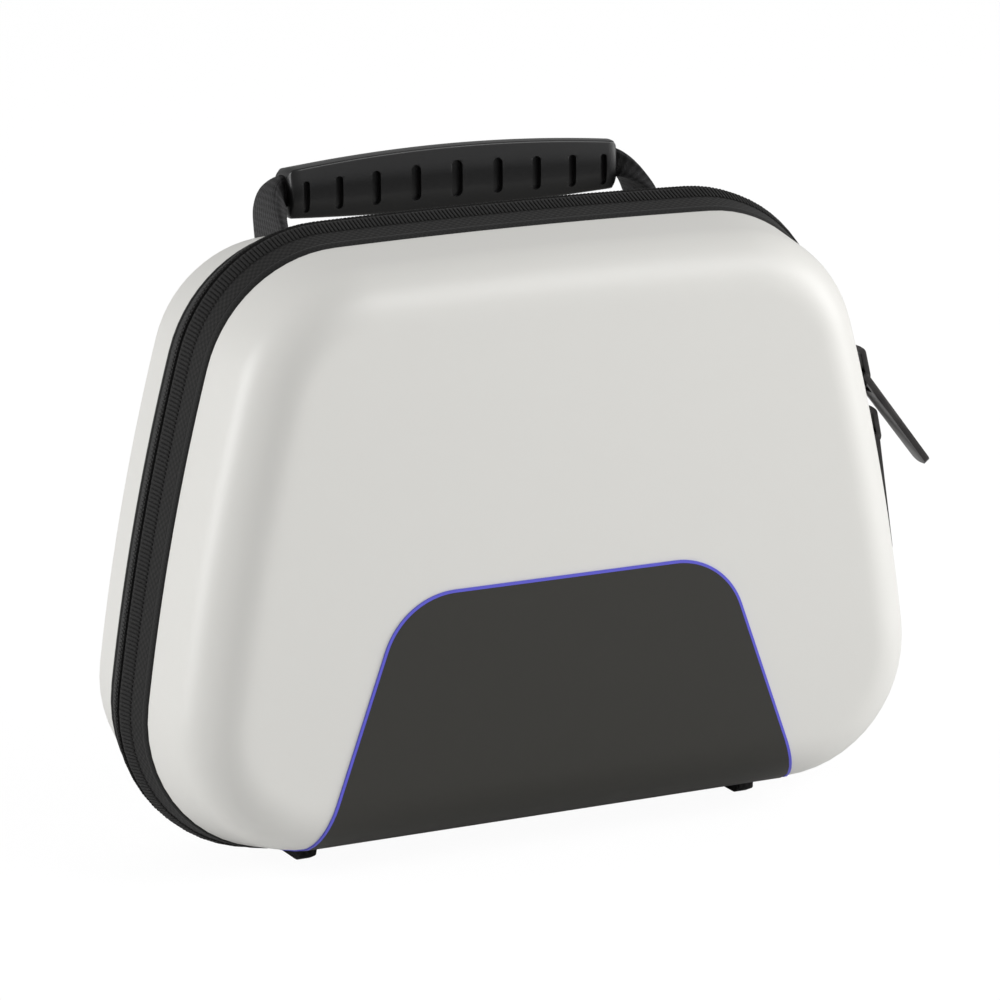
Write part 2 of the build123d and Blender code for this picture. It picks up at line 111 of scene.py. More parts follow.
def arcPoints(centre, radius, start, end, steps):
    angles = [start + (end - start) * step / steps for step in range(1, steps + 1)]
    return [(centre[0] + radius * cos(a), centre[1] + radius * sin(a)) for a in angles]


def outlineRing(grow, lift, drop, depth):
    # Points of the outline in metres, from the middle of the bottom round by the right side.
    # Lift raises its bottom and drop lowers its top.
    form = caseForm
    radius = form["bottomCorner"]
    low = form["footGap"] + lift - grow
    cz = form["footGap"] + lift + radius
    cx = sideArc[0] + sqrt((sideArc[2] - radius) ** 2 - (cz - sideArc[1]) ** 2)
    zipEnd = form["zipEnd"]
    steps = ringSteps
    half = [(zipEnd * step / steps["flat"], low) for step in range(steps["flat"] + 1)]
    count = steps["toCorner"]
    half += [(zipEnd + (cx - zipEnd) * step / count, low) for step in range(1, count + 1)]
    leave = atan2(cz - sideArc[1], cx - sideArc[0])
    corner = topCorner(drop)
    arrive = atan2(corner[1] - sideArc[1], corner[0] - sideArc[0])
    crown = atan2(corner[1] - topArc[1], corner[0] - topArc[0])
    half += arcPoints((cx, cz), radius + grow, -pi / 2, leave, steps["bottomCorner"])
    half += arcPoints(sideArc, sideArc[2] + grow, leave, arrive, steps["side"])
    half += arcPoints(corner, form["topCorner"] + grow, arrive, crown, steps["topCorner"])
    half += arcPoints(topArc, topArc[2] + grow - drop, crown, pi / 2, steps["top"])
    left = [(-x, z) for x, z in reversed(half[1:-1])]
    return [Vector((x, depth, z)) * mm for x, z in half + left]


def bandRing(side, reach, proud):
    # the band is crowned: its outline shrinks towards the rims
    share = reach / caseForm["bandHalfWidth"]
    grow = proud - share * caseForm["rimInset"]
    return outlineRing(grow, share * caseForm["rimLift"], share * caseForm["rimDrop"], side * reach)


def deselectAll():
    if bpy.context.object and bpy.context.object.mode != "OBJECT":
        bpy.ops.object.mode_set(mode="OBJECT")
    bpy.ops.object.select_all(action="DESELECT")


def selectOnly(piece):
    deselectAll()
    piece.select_set(True)
    bpy.context.view_layer.objects.active = piece


def editAll(piece):
    selectOnly(piece)
    bpy.ops.object.mode_set(mode="EDIT")
    bpy.ops.mesh.select_all(action="SELECT")


def applyModifiers(piece):
    selectOnly(piece)
    for modifier in list(piece.modifiers):
        bpy.ops.object.modifier_apply(modifier=modifier.name)


def roundEdges(piece, width, angle):
    # bevels the edges sharper than the angle
    edge = piece.modifiers.new("edge", "BEVEL")
    edge.width = width * mm
    edge.segments = 2
    edge.limit_method = "ANGLE"
    edge.angle_limit = radians(angle)
    applyModifiers(piece)


def drawRings(name, rings, closed=False, keepSteps=False):
    # A circle is shaped to the first ring, then its edge is extruded from ring to ring.
    # The last ring is joined to the first when closed, otherwise both ends are capped.
    deselectAll()
    bpy.ops.mesh.primitive_circle_add(vertices=len(rings[0]), radius=mm, fill_type="NOTHING")
    piece = bpy.context.object
    piece.name = name
    bpy.ops.object.mode_set(mode="EDIT")
    mesh = bmesh.from_edit_mesh(piece.data)
    place = mesh.verts.layers.int.new("place")
    step = mesh.verts.layers.int.new("step")
    for vertex in mesh.verts:
        vertex[place] = vertex.index
        vertex.co = rings[0][vertex.index]
    bmesh.update_edit_mesh(piece.data)
    for number, ring in enumerate(rings[1:], 1):
        bpy.ops.mesh.extrude_edges_move()
        mesh = bmesh.from_edit_mesh(piece.data)
        place = mesh.verts.layers.int["place"]
        step = mesh.verts.layers.int["step"]
        for vertex in mesh.verts:
            if vertex.select:
                vertex.co = ring[vertex[place]]
                vertex[step] = number
        bmesh.update_edit_mesh(piece.data)
    last = len(rings) - 1
    for end in [(0, last)] if closed else [(0,), (last,)]:
        bpy.ops.mesh.select_all(action="DESELECT")
        bpy.context.tool_settings.mesh_select_mode = (False, True, False)
        mesh = bmesh.from_edit_mesh(piece.data)
        step = mesh.verts.layers.int["step"]
        for edge in mesh.edges:
            a, b = edge.verts
            edge.select_set(a[step] == b[step] and a[step] in end)
        bmesh.update_edit_mesh(piece.data)
        bpy.ops.mesh.bridge_edge_loops() if closed else bpy.ops.mesh.edge_face_add()
    bpy.ops.mesh.select_all(action="SELECT")
    bpy.ops.mesh.normals_make_consistent(inside=False)
    bpy.ops.object.mode_set(mode="OBJECT")
    unrollRings(piece, rings)
    piece.data.attributes.remove(piece.data.attributes["place"])
    if not keepSteps:
        piece.data.attributes.remove(piece.data.attributes["step"])
    return piece


def unrollRings(piece, rings):
    # UV map in metres: U runs along the first ring and V across, from ring to ring
    count = len(rings[0])
    along = [0.0]
    for number in range(count):
        along.append(along[-1] + (rings[0][(number + 1) % count] - rings[0][number]).length)
    across = [0.0]
    for near, far in zip(rings, rings[1:]):
        # every seventh point gives a fair mean
        gaps = [(far[n] - near[n]).length for n in range(0, count, 7)]
        across.append(across[-1] + sum(gaps) / len(gaps))
    mesh = piece.data
    while mesh.uv_layers:
        mesh.uv_layers.remove(mesh.uv_layers[0])
    layer = mesh.uv_layers.new(name="Unrolled")
    places = [item.value for item in mesh.attributes["place"].data]
    steps = [item.value for item in mesh.attributes["step"].data]
    for face in mesh.polygons:
        numbers = [places[v] for v in face.vertices]
        wraps = max(numbers) - min(numbers) > count / 2
        for loop in face.loop_indices:
            vertex = mesh.loops[loop].vertex_index
            number = places[vertex]
            if wraps and number < count / 2:
                number += count
            layer.data[loop].uv = (along[min(number, count)], across[steps[vertex]])


def dressNode(piece, body, node):
    # the piece moves with the body and takes the place of the CAD's node
    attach(piece, body)
    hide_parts(node)


def smoothPiece(piece, angle):
    selectOnly(piece)
    bpy.ops.object.shade_smooth_by_angle(angle=radians(angle))


# Materials


def srgb(hexColour):
    channels = [int(hexColour[n:n + 2], 16) / 255 for n in (1, 3, 5)]
    linear = [c / 12.92 if c <= 0.04045 else ((c + 0.055) / 1.055) ** 2.4 for c in channels]
    return (*linear, 1.0)


def addNode(tree, kind, settings=None, **links):
    # Settings are a node's properties or input values, links come from other nodes' outputs.
    # An input is called by its name, or by its number as i0, i1 and so on.
    node = tree.nodes.new("ShaderNode" + kind)
    for name, value in (settings or {}).items():
        if name in node.inputs:
            node.inputs[name].default_value = value
        elif name[1:].isdigit():
            node.inputs[int(name[1:])].default_value = value
        else:
            setattr(node, name, value)
    for name, output in links.items():
        key = int(name[1:]) if name[1:].isdigit() else name.replace("_", " ")
        tree.links.new(output, node.inputs[key])
    return node


def newMaterial(name, colour, roughness, **more):
    material = bpy.data.materials.new(name)
    material.use_nodes = True
    shader = material.node_tree.nodes["Principled BSDF"]
    shader.inputs["Base Color"].default_value = srgb(colour)
    shader.inputs["Roughness"].default_value = roughness
    for key, value in more.items():
        shader.inputs[key.replace("_", " ")].default_value = value
    material.diffuse_color = srgb(colour)
    return material, material.node_tree, shader


def giveMaterial(piece, *materials):
    piece.data.materials.clear()
    for material in materials:
        piece.data.materials.append(material)


def reliefOver(tree, shader, grain):
    # a fine relief all over a surface, with grains of this size in millimetres
    place = addNode(tree, "TexCoord").outputs["Object"]
    settings = {"Scale": 1 / (grain["size"] * mm), "Detail": grain["detail"]}
    settings["Roughness"] = grain.get("roughness", 0.5)
    height = addNode(tree, "TexNoise", settings, Vector=place).outputs[0]
    settings = {"Strength": grain["strength"], "Distance": grain["height"] * mm}
    bump = addNode(tree, "Bump", settings, Height=height)
    tree.links.new(bump.outputs[0], shader.inputs["Normal"])
    return height


def coatedFoamBoard():
    # foam board pressed in a heated mould under a smooth coated skin: satin, almost no grain
    look = {"colour": "#d6d5d1", "roughness": 0.42, "specular": 0.45}
    grain = {"size": 0.9, "detail": 2.0, "strength": 0.25, "height": 0.012}
    material, tree, shader = newMaterial(
        "Coated_foam_board", look["colour"], look["roughness"], Specular_IOR_Level=look["specular"]
    )
    reliefOver(tree, shader, grain)
    return material


def nappedLining():
    # knitted lining glued inside the shells: dull, with a short nap
    look = {"colour": "#2b2a2a", "light": "#3a3938", "roughness": 0.95}
    nap = {"size": 0.8, "detail": 4.0, "roughness": 0.6, "strength": 0.8, "height": 0.12}
    material, tree, shader = newMaterial(
        "Napped_lining",
        look["colour"],
        look["roughness"],
        Specular_IOR_Level=0.2,
        Sheen_Weight=0.35,
    )
    height = reliefOver(tree, shader, nap)
    colours = {"i6": srgb(look["colour"]), "i7": srgb(look["light"])}
    tint = addNode(tree, "Mix", {"data_type": "RGBA", **colours}, i0=height)
    tree.links.new(tint.outputs[2], shader.inputs["Base Color"])
    return material


def wovenTape(name, look, pitches, diagonal=False):
    # plain weave: two sets of threads over and under each other, in the tape's own UV,
    # drawn coarser than real threads so that it shows; pitches are in millimetres
    weave = {"specular": 0.3, "sheen": 0.05, "fuzzSize": 0.35, "strength": 0.9}
    material, tree, shader = newMaterial(
        name,
        look["thread"],
        look["roughness"],
        Specular_IOR_Level=weave["specular"],
        Sheen_Weight=weave["sheen"],
    )
    place = addNode(tree, "TexCoord")
    split = addNode(tree, "SeparateXYZ", i0=place.outputs["UV"])
    a, b = split.outputs[0], split.outputs[1]
    if diagonal:
        a, b = [
            addNode(tree, "Math", {"operation": slant}, i0=a, i1=b).outputs[0]
            for slant in ("ADD", "SUBTRACT")
        ]
    waves = []
    for way, pitch in zip((a, b), pitches):
        turns = addNode(tree, "Math", {"operation": "MULTIPLY", "i1": pi / (pitch * mm)}, i0=way)
        waves.append(addNode(tree, "Math", {"operation": "SINE"}, i0=turns.outputs[0]).outputs[0])
    crossing = addNode(tree, "Math", {"operation": "MULTIPLY"}, i0=waves[0], i1=waves[1])
    height = addNode(tree, "MapRange", {"From Min": -1.0, "From Max": 1.0}, i0=crossing.outputs[0])
    settings = {"Scale": 1 / (weave["fuzzSize"] * mm), "Detail": 2.0}
    fuzz = addNode(tree, "TexNoise", settings, Vector=place.outputs["Object"])
    settings = {"operation": "MULTIPLY"}
    uneven = addNode(tree, "Math", settings, i0=height.outputs[0], i1=fuzz.outputs[0])
    colours = {"i6": srgb(look["gap"]), "i7": srgb(look["thread"])}
    tint = addNode(tree, "Mix", {"data_type": "RGBA", **colours}, i0=uneven.outputs[0])
    tree.links.new(tint.outputs[2], shader.inputs["Base Color"])
    settings = {"Strength": weave["strength"], "Distance": look["height"] * mm}
    bump = addNode(tree, "Bump", settings, Height=uneven.outputs[0])
    tree.links.new(bump.outputs[0], shader.inputs["Normal"])
    return material


def mouldedNylon(name, look):
    # glass-filled nylon from a satin mould: dark, soft highlights, a fine even grain
    rough, spread = look["roughness"], 0.06
    grain = {"size": look["grain"], "detail": 3.0, "strength": 0.3, "height": look["height"]}
    material, tree, shader = newMaterial(name, look["colour"], rough)
    height = reliefOver(tree, shader, grain)
    limits = {"To Min": rough - spread, "To Max": rough + spread}
    shine = addNode(tree, "MapRange", limits, i0=height)
    tree.links.new(shine.outputs[0], shader.inputs["Roughness"])
    return material


def blackenedZinc():
    # die-cast zinc with a black plated finish, rubbed a little lighter where hands touch it
    look = {"colour": "#2e2d2e", "worn": "#4c4a49", "roughness": 0.34}
    wear = {"size": 5.0, "detail": 4.0}
    material, tree, shader = newMaterial(
        "Blackened_zinc", look["colour"], look["roughness"], Metallic=1.0
    )
    place = addNode(tree, "TexCoord").outputs["Object"]
    settings = {"Scale": 1 / (wear["size"] * mm), "Detail": wear["detail"]}
    rubbed = addNode(tree, "TexNoise", settings, Vector=place)
    colours = {"i6": srgb(look["colour"]), "i7": srgb(look["worn"])}
    tint = addNode(tree, "Mix", {"data_type": "RGBA", **colours}, i0=rubbed.outputs[0])
    tree.links.new(tint.outputs[2], shader.inputs["Base Color"])
    return material


def softTouchCoating():
    # rubbery coating sprayed on the front shell: dull and even
    look = {"colour": "#2d2c28", "roughness": 0.6, "specular": 0.35}
    grain = {"size": 0.7, "detail": 3.0, "strength": 0.5, "height": 0.03}
    material, tree, shader = newMaterial(
        "Soft_touch_coating", look["colour"], look["roughness"], Specular_IOR_Level=look["specular"]
    )
    reliefOver(tree, shader, grain)
    return material


def printedLine():
    # screen-printed ink in a bright violet blue, a little uneven in its shine
    look = {"colour": "#5654c8", "roughness": 0.5, "spread": 0.08, "size": 2.0}
    rough, spread = look["roughness"], look["spread"]
    material, tree, shader = newMaterial("Printed_line_ink", look["colour"], rough)
    place = addNode(tree, "TexCoord").outputs["Object"]
    blotch = addNode(tree, "TexNoise", {"Scale": 1 / (look["size"] * mm)}, Vector=place).outputs[0]
    limits = {"To Min": rough - spread, "To Max": rough + spread}
    shine = addNode(tree, "MapRange", limits, i0=blotch)
    tree.links.new(shine.outputs[0], shader.inputs["Roughness"])
    return material


def knittedNet():
    # warp-knitted polyester net: thin threads crossing on the slant, open between them
    look = {"colour": "#262526", "roughness": 0.7, "sheen": 0.3}
    threads = {"columns": 46, "rows": 24, "share": 0.42}
    material, tree, shader = newMaterial(
        "Knitted_net", look["colour"], look["roughness"], Sheen_Weight=look["sheen"]
    )
    split = addNode(tree, "SeparateXYZ", i0=addNode(tree, "TexCoord").outputs["UV"])
    along, up = [
        addNode(tree, "Math", {"operation": "MULTIPLY", "i1": threads[way] * pi}, i0=output)
        for way, output in (("columns", split.outputs[0]), ("rows", split.outputs[1]))
    ]
    sides = []
    for slant in ("ADD", "SUBTRACT"):
        node = addNode(tree, "Math", {"operation": slant}, i0=along.outputs[0], i1=up.outputs[0])
        for operation in ("SINE", "ABSOLUTE"):
            node = addNode(tree, "Math", {"operation": operation}, i0=node.outputs[0])
        sides.append(node.outputs[0])
    nearest = addNode(tree, "Math", {"operation": "MINIMUM"}, i0=sides[0], i1=sides[1])
    settings = {"operation": "GREATER_THAN", "i1": threads["share"]}
    hole = addNode(tree, "Math", settings, i0=nearest.outputs[0])
    clear = addNode(tree, "BsdfTransparent")
    mix = addNode(tree, "MixShader", i0=hole.outputs[0], i1=shader.outputs[0], i2=clear.outputs[0])
    tree.links.new(mix.outputs[0], tree.nodes["Material Output"].inputs[0])
    return material


shellMaterial = coatedFoamBoard()
netMaterial = knittedNet()
liningMaterial = nappedLining()
tapeMaterial = wovenTape(
    "Woven_zip_tape",
    {"thread": "#2f2e2d", "gap": "#050505", "roughness": 0.8, "height": 0.16},
    pitches=(0.9, 0.75),
)
bindingMaterial = wovenTape(
    "Woven_edge_binding",
    {"thread": "#222120", "gap": "#060606", "roughness": 0.75, "height": 0.08},
    pitches=(0.6, 0.6),
)
webbingMaterial = wovenTape(
    "Woven_webbing",
    {"thread": "#464547", "gap": "#060606", "roughness": 0.7, "height": 0.5},
    pitches=(1.5, 1.5),
    diagonal=True,
)
coilMaterial = mouldedNylon(
    "Drawn_nylon_coil",
    {"colour": "#201f1e", "roughness": 0.4, "grain": 0.5, "height": 0.01},
)
gripMaterial = mouldedNylon(
    "Moulded_grip_nylon",
    {"colour": "#0e0e0f", "roughness": 0.36, "grain": 0.4, "height": 0.015},
)
metalMaterial = blackenedZinc()
patchMaterial = softTouchCoating()
lineMaterial = printedLine()
print("materials made")

# Shells

frontForm = {"side": -1, "depth": 24.0, "draft": 8.5, "slope": 13.0, "edge": 13.5, "wall": 3.0}
rearForm = {"side": 1, "depth": 29.0, "draft": 13.5, "slope": 13.0, "edge": 15.0, "wall": 3.0}


def wallInset(reach, start, slope, depth, radius):
    # how far in the wall is at a depth below the band's edge: a straight wall, then the round edge
    slant = radians(slope)
    if reach <= depth - radius + radius * sin(slant):
        return start + reach * tan(slant)
    centre = start + (depth - radius) * tan(slant) + radius / cos(slant)
    return centre - sqrt(max(radius**2 - (reach - depth + radius) ** 2, 0))


shellSteps = {"flat": 4, "round": 12, "panelEdge": 1.5}


def shellRings(form, inward):
    rim, rimLift = caseForm["rimInset"], caseForm["rimLift"]
    flatSteps, roundSteps = shellSteps["flat"], shellSteps["round"]
    panelEdge = shellSteps["panelEdge"]
    depth = form["depth"] - inward
    radius = form["edge"] - inward
    slant = radians(form["draft"])
    tangent = depth - radius + radius * sin(slant)
    reaches = [tangent * step / flatSteps for step in range(flatSteps)]
    for step in range(roundSteps + 1):
        angle = slant + (pi / 2 - slant) * step / roundSteps
        reaches.append(depth - radius + radius * sin(angle))
    rings = []
    for reach in reaches:
        inset = wallInset(reach, rim + inward, form["draft"], depth, radius)
        bottom = wallInset(reach, rim + inward + rimLift, form["slope"], depth, radius)
        y = form["side"] * (caseForm["bandHalfWidth"] + reach)
        rings.append(outlineRing(-inset, bottom - inset, caseForm["rimDrop"], y))
    # one more ring just inside the flat panel keeps its shading flat
    inset += panelEdge
    rings.append(outlineRing(-inset, bottom + panelEdge - inset, caseForm["rimDrop"], y))
    return rings


def makeShell(name, form):
    outer = shellRings(form, 0)
    inner = shellRings(form, form["wall"])
    piece = drawRings(name, outer[::-1] + inner, keepSteps=True)
    giveMaterial(piece, shellMaterial, liningMaterial)
    steps = [item.value for item in piece.data.attributes["step"].data]
    for face in piece.data.polygons:
        if min(steps[v] for v in face.vertices) >= len(outer) - 1:
            face.material_index = 1
    piece.data.attributes.remove(piece.data.attributes["step"])
    smoothPiece(piece, 50)
    return piece


frontShell = makeShell("front_shell_skin", frontForm)
dressNode(frontShell, "lid", "front_shell")
rearShell = makeShell("rear_shell_skin", rearForm)
dressNode(rearShell, "rear_half", "rear_shell")
print("shells made")

# Zip band

bandForm = {
    "split": 0.7,
    "tape": 8.8,
    "tapeThickness": 0.9,
    "coil": 2.8,
    "coilDrop": 0.95,
    "coilHeight": 1.5,
    "bindingProud": 0.4,
    "bindingDepth": 3.4,
    "bindingRound": 0.7,
    "tapeSteps": 10,
    "bindingSteps": 8,
    "coilSteps": 12,
    "coilStart": 0.05,
    "ribPitch": 1.0,
    "ribShare": 0.62,
    "ribStart": 1.1,
    "ribEnd": 4.9,
    "ribHeight": 0.35,
    "ribEdge": 0.18,
}


def underStrip(point):
    # true along the bottom, where the zip gives way to the hinge strip
    return point.z < caseForm["zipEndHeight"] * mm and abs(point.x) < caseForm["zipEnd"] * mm


def openBottom(piece):
    bpy.context.tool_settings.mesh_select_mode = (False, False, True)
    selectOnly(piece)
    bpy.ops.object.mode_set(mode="EDIT")
    bpy.ops.mesh.select_all(action="DESELECT")
    mesh = bmesh.from_edit_mesh(piece.data)
    for face in mesh.faces:
        face.select_set(underStrip(face.calc_center_median()))
    bmesh.update_edit_mesh(piece.data)
    bpy.ops.mesh.delete(type="FACE")
    bpy.ops.object.mode_set(mode="OBJECT")


def makeTape(name, side):
    form = bandForm
    count = form["tapeSteps"]
    wide = form["tape"] - form["split"]
    reaches = [form["split"] + wide * n / count for n in range(count + 1)]
    top = [bandRing(side, reach, 0) for reach in reaches]
    under = [bandRing(side, reach, -form["tapeThickness"]) for reach in reversed(reaches)]
    piece = drawRings(name, top + under, closed=True)
    openBottom(piece)
    giveMaterial(piece, tapeMaterial)
    smoothPiece(piece, 50)
    return piece


def makeBinding(name, side):
    form = bandForm
    start, end = form["tape"], caseForm["bandHalfWidth"]
    half = (end - start) / 2
    proud, soft, count = form["bindingProud"], form["bindingRound"], form["bindingSteps"]
    rings = []
    for step in range(count + 1):
        angle = pi * step / count
        reach = start + half * (1 - cos(angle))
        rings.append(bandRing(side, reach, proud - soft * (1 - sin(angle))))
    for reach in (end, start):
        rings.append(bandRing(side, reach, proud - form["bindingDepth"]))
    piece = drawRings(name, rings, closed=True)
    giveMaterial(piece, bindingMaterial)
    smoothPiece(piece, 50)
    return piece


def makeCoil(name, side):
    form = bandForm
    half, start, count = form["coil"] / 2, form["coilStart"], form["coilSteps"]
    rings = []
    for step in range(count):
        angle = 2 * pi * step / count
        reach = half + start - (half - start) * cos(angle)
        drop = form["coilDrop"] + form["coilHeight"] / 2 * (1 - sin(angle))
        rings.append(bandRing(side, reach, -drop))
    piece = drawRings(name, rings, closed=True)
    openBottom(piece)
    giveMaterial(piece, coilMaterial)
    smoothPiece(piece, 50)
    return piece


def makeRibs(name, side):
    # the coil's turns press up through the tape as a row of short bars beside the split
    form = bandForm
    near = bandRing(side, form["ribStart"], 0)
    far = bandRing(side, form["ribEnd"], 0)
    deselectAll()
    bpy.ops.mesh.primitive_cube_add(size=1)
    piece = bpy.context.object
    piece.name = name
    editAll(piece)
    bpy.ops.mesh.bevel(offset=form["ribEdge"], segments=2, affect="EDGES")
    bpy.ops.object.mode_set(mode="OBJECT")
    rib = [vertex.co.copy() for vertex in piece.data.vertices]
    faces = [list(face.vertices) for face in piece.data.polygons]
    vertices, allFaces = [], []
    count = len(near)
    walked, due = 0.0, 0.0
    pitch = form["ribPitch"] * mm
    for number in range(count):
        after = (number + 1) % count
        length = (near[after] - near[number]).length
        while due < walked + length:
            part = (due - walked) / length
            start = near[number].lerp(near[after], part)
            end = far[number].lerp(far[after], part)
            due += pitch
            if underStrip(start):
                continue
            across = end - start
            along = (near[after] - near[number]).normalized()
            out = along.cross(across).normalized() * side
            base = len(vertices)
            for corner in rib:
                spot = start + across * (corner.y + 0.5)
                spot += along * (corner.x * form["ribShare"] * pitch)
                vertices.append(spot + out * (corner.z * form["ribHeight"] * 2 * mm))
            allFaces += [[base + index for index in face] for face in faces]
        walked += length
    piece.data.clear_geometry()
    piece.data.from_pydata(vertices, [], allFaces)
    editAll(piece)
    bpy.ops.mesh.normals_make_consistent(inside=False)
    bpy.ops.object.mode_set(mode="OBJECT")
    giveMaterial(piece, tapeMaterial)
    smoothPiece(piece, 60)
    return piece


for side, body, half in ((-1, "lid", "front"), (1, "rear_half", "rear")):
    tape = makeTape(half + "_tape", side)
    dressNode(tape, body, half + "_zip_tape")
    binding = makeBinding(half + "_bound_edge", side)
    dressNode(binding, body, half + "_binding")
    coil = makeCoil(half + "_coil", side)
    dressNode(coil, body, half + "_zip_coil")
    ribs = makeRibs(half + "_zip_ribs", side)
    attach(ribs, body)
print("zip band made")

# Hinge strip, with a thick folded end at each side

stripForm = {
    "length": 57.0,
    # rings of a folded end: distance in from the end, and how far its edges are rounded off
    "endRings": [(0.0, 0.7), (0.2, 0.3), (0.7, 0.0), (4.0, 0.0), (4.5, 0.3)],
    "foldStep": 0.2,
    "topRound": 0.4,
    "reach": 14.0,
    "flat": 9.5,
    "endFlat": 11.0,
    "endRise": 1.4,
    "top": [(0.0, 3.01), (8.8, 3.01), (11.0, 3.57), (14.0, 4.66)],
    "edgeThickness": 1.0,
    "columns": 28,
    "rings": 24,
}


def heightBetween(points, reach):
    # height at a distance from the middle, straight between the given points
    for (y0, z0), (y1, z1) in zip(points, points[1:]):
        if reach <= y1:
            return z0 + (z1 - z0) * (reach - y0) / (y1 - y0)
    return points[-1][1]


def stripRing(x, thick, soft=0.0):
    form = stripForm
    low = caseForm["footGap"]
    edge = form["top"][-1][1] - form["edgeThickness"]
    thin = [(0.0, low), (form["flat"], low), (form["reach"], edge)]
    folded = [(0.0, 0.0), (form["endFlat"], 0.0), (form["reach"], form["endRise"])]
    base = folded if thick else thin
    count = form["columns"]
    reach = form["reach"] - soft
    sweep = [-reach + 2 * reach * step / count for step in range(count + 1)]
    sink = form["topRound"] * soft
    upper = [Vector((x, y, heightBetween(form["top"], abs(y)) - sink)) for y in sweep]
    lower = [Vector((x, y, heightBetween(base, abs(y)) + soft)) for y in reversed(sweep)]
    return [point * mm for point in upper + lower]


def makeHingeStrip():
    form = stripForm
    end = form["length"] + form["endRings"][-1][0]
    inner = form["length"] - form["foldStep"]
    half = [stripRing(end - inward, True, soft) for inward, soft in form["endRings"]]
    half.append(stripRing(inner, False))
    count = form["rings"]
    middle = [stripRing(inner - 2 * inner * step / count, False) for step in range(1, count)]
    left = [[Vector((-p.x, p.y, p.z)) for p in ring] for ring in reversed(half)]
    piece = drawRings("bottom_hinge_strip", half + middle + left)
    giveMaterial(piece, tapeMaterial)
    smoothPiece(piece, 40)
    return piece


hingeStrip = makeHingeStrip()
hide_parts("hinge_strip")
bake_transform(hingeStrip)
print("hinge strip made")

# Coated patch and the printed line round it

patchForm = {
    "bottomHalf": 66.0,
    "topHalf": 42.0,
    "height": 66.5,
    "corner": 18.5,
    "start": 14.3,
    "thickness": 0.4,
    "lineWidth": 0.7,
    "lineSink": 0.02,
    "shift": -1.5,
    "columns": 36,
    "rows": 40,
    "sideSteps": 30,
    "cornerSteps": 16,
    "topSteps": 8,
}


def patchCorner():
    # centre of the patch's right top corner, and the lean of its side from upright
    form = patchForm
    lean = atan2(form["bottomHalf"] - form["topHalf"], form["height"])
    high = caseForm["footGap"] + form["height"]
    cz = high - form["corner"]
    side = form["bottomHalf"] - (cz - caseForm["footGap"]) * tan(lean)
    return side - form["corner"] / cos(lean), cz, lean


def patchHalfWidth(z):
    cx, cz, lean = patchCorner()
    if z < cz + patchForm["corner"] * sin(lean):
        return patchForm["bottomHalf"] - (z - caseForm["footGap"]) * tan(lean)
    return cx + sqrt(max(patchForm["corner"] ** 2 - (z - cz) ** 2, 0))


def frontPoint(x, z, proud):
    # a point this far proud of the front shell's bottom wall, round edge or panel
    slant = radians(frontForm["slope"])
    depth, radius = frontForm["depth"] + proud, frontForm["edge"] + proud
    start = caseForm["footGap"] + caseForm["rimInset"] + caseForm["rimLift"] - proud
    tangent = depth - radius + radius * sin(slant)
    centre = start + (depth - radius) * tan(slant) + radius / cos(slant)
    reach = (z - start) / tan(slant)
    if reach > tangent:
        reach = depth - radius + sqrt(max(radius**2 - max(centre - z, 0) ** 2, 0))
    return Vector((x, -caseForm["bandHalfWidth"] - reach, z)) * mm


def patchLow(proud):
    slope = tan(radians(frontForm["slope"]))
    start = caseForm["footGap"] + caseForm["rimInset"] + caseForm["rimLift"] - proud
    return start + (patchForm["start"] - caseForm["bandHalfWidth"]) * slope


def makeSkin(name, rows, material, thickness):
    # a grid is laid over the given rows of points and given the skin's thickness
    deselectAll()
    long, wide = len(rows[0]), len(rows)
    bpy.ops.mesh.primitive_grid_add(x_subdivisions=long - 1, y_subdivisions=wide - 1)
    piece = bpy.context.object
    piece.name = name
    for vertex in piece.data.vertices:
        row, column = divmod(vertex.index, long)
        vertex.co = rows[row][column]
    thick = piece.modifiers.new("thickness", "SOLIDIFY")
    thick.thickness = thickness * mm
    thick.offset = -1
    applyModifiers(piece)
    giveMaterial(piece, material)
    smoothPiece(piece, 50)
    return piece


def makePatch():
    form = patchForm
    proud = form["thickness"]
    _, cz, lean = patchCorner()
    low, arcStart = patchLow(proud), cz + form["corner"] * sin(lean)
    half = form["rows"] // 2
    heights = [low + (arcStart - low) * (step / half) for step in range(half)]
    for step in range(half + 1):
        angle = lean + (pi / 2 - lean) * step / half
        heights.append(cz + form["corner"] * sin(angle))
    rows = []
    for z in heights:
        wide = patchHalfWidth(z)
        columns = form["columns"]
        across = [form["shift"] + wide * (2 * n / columns - 1) for n in range(columns + 1)]
        rows.append([frontPoint(x, z, proud) for x in across])
    return makeSkin("front_patch_skin", rows, patchMaterial, form["thickness"])


def patchBorder():
    # the right border from the bottom to the middle of the top, with its outward normals
    form = patchForm
    cx, cz, lean = patchCorner()
    low = patchLow(form["thickness"])
    arcStart = cz + form["corner"] * sin(lean)
    border = []
    for step in range(form["sideSteps"]):
        z = low + (arcStart - low) * step / form["sideSteps"]
        border.append((patchHalfWidth(z), z, cos(lean), sin(lean)))
    for step in range(form["cornerSteps"] + 1):
        angle = lean + (pi / 2 - lean) * step / form["cornerSteps"]
        nx, nz = cos(angle), sin(angle)
        border.append((cx + form["corner"] * nx, cz + form["corner"] * nz, nx, nz))
    for step in range(1, form["topSteps"] + 1):
        top = caseForm["footGap"] + form["height"]
        border.append((cx * (1 - step / form["topSteps"]), top, 0, 1))
    return border


